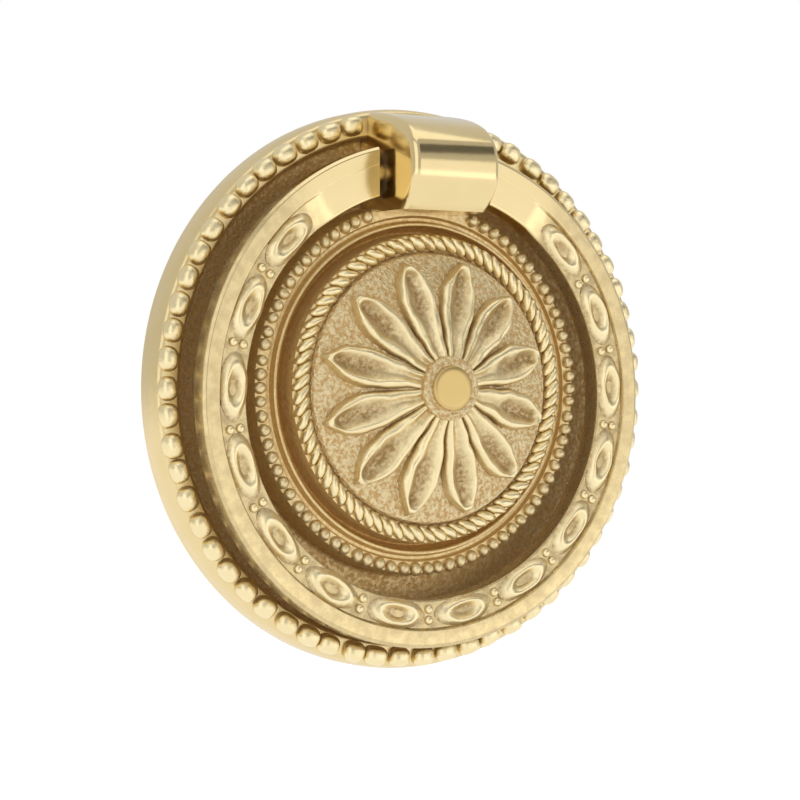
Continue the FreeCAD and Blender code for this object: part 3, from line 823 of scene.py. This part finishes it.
def threaded_stud():
    """A rod riveted flat in front, with a thread cut along it behind the plate."""
    around, per_turn = 40, 8
    rows = [(STUD_HEAD_RADIUS * k / 4, STUD_FRONT) for k in range(1, 4)]
    rows += [(STUD_HEAD_RADIUS - HEAD_BEVEL, STUD_FRONT), (STUD_HEAD_RADIUS, STUD_FRONT - HEAD_BEVEL),
             (STUD_HEAD_RADIUS, SPIGOT_END), (STUD_RADIUS, SPIGOT_END), (STUD_RADIUS, -PLAIN_SHANK)]
    verts = [spot(r, TURN * j / around, out) for r, out in rows for j in range(around)]
    length = STUD_REACH - THREAD_START
    steps = int(length / THREAD_PITCH * per_turn)
    for i in range(steps + 1):
        back = THREAD_START + length * i / steps
        to_end = STUD_REACH - back
        cut = max(min(1.0, to_end / THREAD_RUN_OUT, (back - THREAD_START) / THREAD_RUN_IN), 0.0)
        bevel = END_BEVEL * max(0.0, 1 - to_end / END_BEVEL_LENGTH)
        for j in range(around):
            groove = abs(2 * ((back / THREAD_PITCH - j / around) % 1.0) - 1)
            radius = STUD_RADIUS - THREAD_DEPTH * groove * cut - bevel
            verts.append(spot(radius, TURN * j / around, -back))
    faces = rod_faces(len(rows) + steps + 1, around)
    return paint(finish_mesh("threaded_stud", verts, faces, 50), DRAWN)


# The studio, in metres.
FLOOR_HALF = 3.0
FLOOR_LEVEL = -0.2
FLAG_HALF_WIDTH = 0.24
FLAG_HALF_HEIGHT = 0.065
FLAG_DISTANCE = 0.6
FELT_NAP_MM = 2
# The world's glow in front and behind, and where along Y it changes from one to the other.
FRONT_GLOW = 0.6
BACK_GLOW = 0.72
GLOW_CHANGES = (-0.25, 0.35)
# The share of the floor that shows plain white; the rest takes light and shadow.
FLOOR_WHITE = 0.8


def studio():
    """Even light from all round, a little stronger from behind, and a white background."""
    world = bpy.data.worlds.new("studio")
    bpy.context.scene.world = world
    tree = clear_nodes(world)
    ray = add(tree, "ShaderNodeLightPath").outputs
    white_seen = add(tree, "ShaderNodeMath",
                     {0: ray["Is Camera Ray"], 1: ray["Is Transmission Ray"]}, operation="MAXIMUM")
    way = add(tree, "ShaderNodeTexCoord").outputs["Generated"]
    parts = add(tree, "ShaderNodeSeparateXYZ", {"Vector": way}).outputs
    behind = add(tree, "ShaderNodeMapRange",
                 {"Value": parts["Y"], "From Min": GLOW_CHANGES[0], "From Max": GLOW_CHANGES[1],
                  "To Min": FRONT_GLOW, "To Max": BACK_GLOW})
    strength = add(tree, "ShaderNodeMix",
                   {"Factor": white_seen.outputs[0], "A": behind.outputs[0], "B": 1.0}, data_type="FLOAT")
    light = add(tree, "ShaderNodeBackground",
                {"Color": linear("#FFFFFF"), "Strength": strength.outputs["Result"]})
    add(tree, "ShaderNodeOutputWorld", {"Surface": light.outputs[0]})


def face_pull(thing, direction, distance):
    """Puts a lamp or a card at a distance from the pull, turned towards it."""
    towards = Vector(direction).normalized()
    thing.location = towards * distance
    thing.rotation_euler = towards.to_track_quat("Z", "Y").to_euler()


def soft_box(name, direction, distance, width, height, glow):
    """A rectangular studio light that faces the pull; glow is how bright its face looks."""
    lamp = bpy.data.lights.new(name, "AREA")
    lamp.shape = "RECTANGLE"
    lamp.size = width
    lamp.size_y = height
    lamp.energy = glow * math.pi * width * height
    face_pull(show(name, lamp), direction, distance)


def flat_card(name, half_width, half_height, level=0.0):
    """A flat rectangle about the middle, at a level."""
    mesh = bpy.data.meshes.new(name)
    corners = [(-half_width, -half_height), (half_width, -half_height), (half_width, half_height),
               (-half_width, half_height)]
    mesh.from_pydata([(x, y, level) for x, y in corners], [], [(0, 1, 2, 3)])
    return show(name, mesh)


def grey_felt():
    """Felt on a card: without any shine, so it shows in the metal as a soft dark shape."""
    finish = bpy.data.materials.new("grey_felt")
    tree = clear_nodes(finish)
    place = add(tree, "ShaderNodeTexCoord").outputs["Object"]
    nap = add(tree, "ShaderNodeTexNoise", {"Vector": place, "Scale": 1 / (FELT_NAP_MM * MM)})
    tone = add(tree, "ShaderNodeMix",
               {"Factor": nap.outputs["Fac"], "A": linear("#686868"), "B": linear("#767676")},
               data_type="RGBA")
    felt = add(tree, "ShaderNodeBsdfDiffuse", {"Color": tone.outputs["Result"]})
    add(tree, "ShaderNodeOutputMaterial", {"Surface": felt.outputs[0]})
    return finish


def grey_flag():
    """A narrow grey card over the front light: it puts the dark band across the lug's brow."""
    flag = flat_card("grey_flag", FLAG_HALF_WIDTH, FLAG_HALF_HEIGHT)
    face_pull(flag, (0.5, -0.62, 0.55), FLAG_DISTANCE)
    flag.visible_camera = False
    paint(flag, grey_felt())


def matt_white_card():
    """White card that looks as white as the background, and darkens a little in a shadow."""
    finish = bpy.data.materials.new("matt_white_card")
    tree = clear_nodes(finish)
    ray = add(tree, "ShaderNodeLightPath").outputs
    seen = add(tree, "ShaderNodeMath", {0: ray["Is Camera Ray"], 1: ray["Is Glossy Ray"]},
               operation="MAXIMUM")
    share = add(tree, "ShaderNodeMath", {0: seen.outputs[0], 1: FLOOR_WHITE}, operation="MULTIPLY")
    card = add(tree, "ShaderNodeBsdfDiffuse", {"Color": linear("#F7F7F7")})
    glow = add(tree, "ShaderNodeEmission", {"Color": linear("#FFFFFF"), "Strength": 1 / FLOOR_WHITE})
    mix = add(tree, "ShaderNodeMixShader", {0: share.outputs[0], 1: card.outputs[0], 2: glow.outputs[0]})
    add(tree, "ShaderNodeOutputMaterial", {"Surface": mix.outputs[0]})
    return finish


def pale_floor():
    """A white floor well below the pull, which hangs free."""
    floor = flat_card("pale_floor", FLOOR_HALF, FLOOR_HALF, FLOOR_LEVEL)
    paint(floor, matt_white_card())


def photo_camera():
    """A long lens level with the plate's middle, shifted so that the pull sits where it should."""
    data = bpy.data.cameras.new("photo_camera")
    data.sensor_width = SENSOR_WIDTH
    data.lens = PIXELS_PER_MM * CAMERA_DISTANCE / IMAGE_PIXELS * SENSOR_WIDTH
    data.shift_x = (IMAGE_PIXELS / 2 - ORIGIN_PIXEL[0]) / IMAGE_PIXELS
    data.shift_y = (ORIGIN_PIXEL[1] - IMAGE_PIXELS / 2) / IMAGE_PIXELS
    data.clip_start = 0.01
    camera = show("photo_camera", data)
    back = Vector((-math.sin(CAMERA_YAW) * math.cos(CAMERA_PITCH),
                   -math.cos(CAMERA_YAW) * math.cos(CAMERA_PITCH), math.sin(CAMERA_PITCH)))
    camera.location = back * CAMERA_DISTANCE * MM
    camera.rotation_euler = back.to_track_quat("Z", "Y").to_euler()
    bpy.context.scene.camera = camera


def main():
    photo_camera()
    studio()
    pale_floor()
    soft_box("front_right", (0.55, -0.8, 0.0), distance=0.9, width=0.9, height=0.5, glow=0.6)
    soft_box("left", (-0.8, -0.72, 0.35), distance=0.9, width=0.7, height=0.9, glow=0.7)
    soft_box("overhead", (0.1, -0.2, 1.0), distance=0.9, width=1.0, height=0.6, glow=0.7)
    grey_flag()
    bpy.context.scene.view_settings.view_transform = "Standard"

    plate = plate_casting()
    on_plate = [plate, rim_beads(), step_pearls(), medallion_rope(), flower(), hinge_lug()]
    stud = threaded_stud()
    ring = ring_bail()
    on_ring = [ring, frieze_ovals(), *frieze_pearls()]
    for piece in on_plate + [stud]:
        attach(piece, "plate")
    for piece in on_ring:
        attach(piece, "bail")
    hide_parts("backplate")
    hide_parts("ring")
    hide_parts("fixing_stud")
    paint(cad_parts["hinge_pin"], DRAWN)


main()
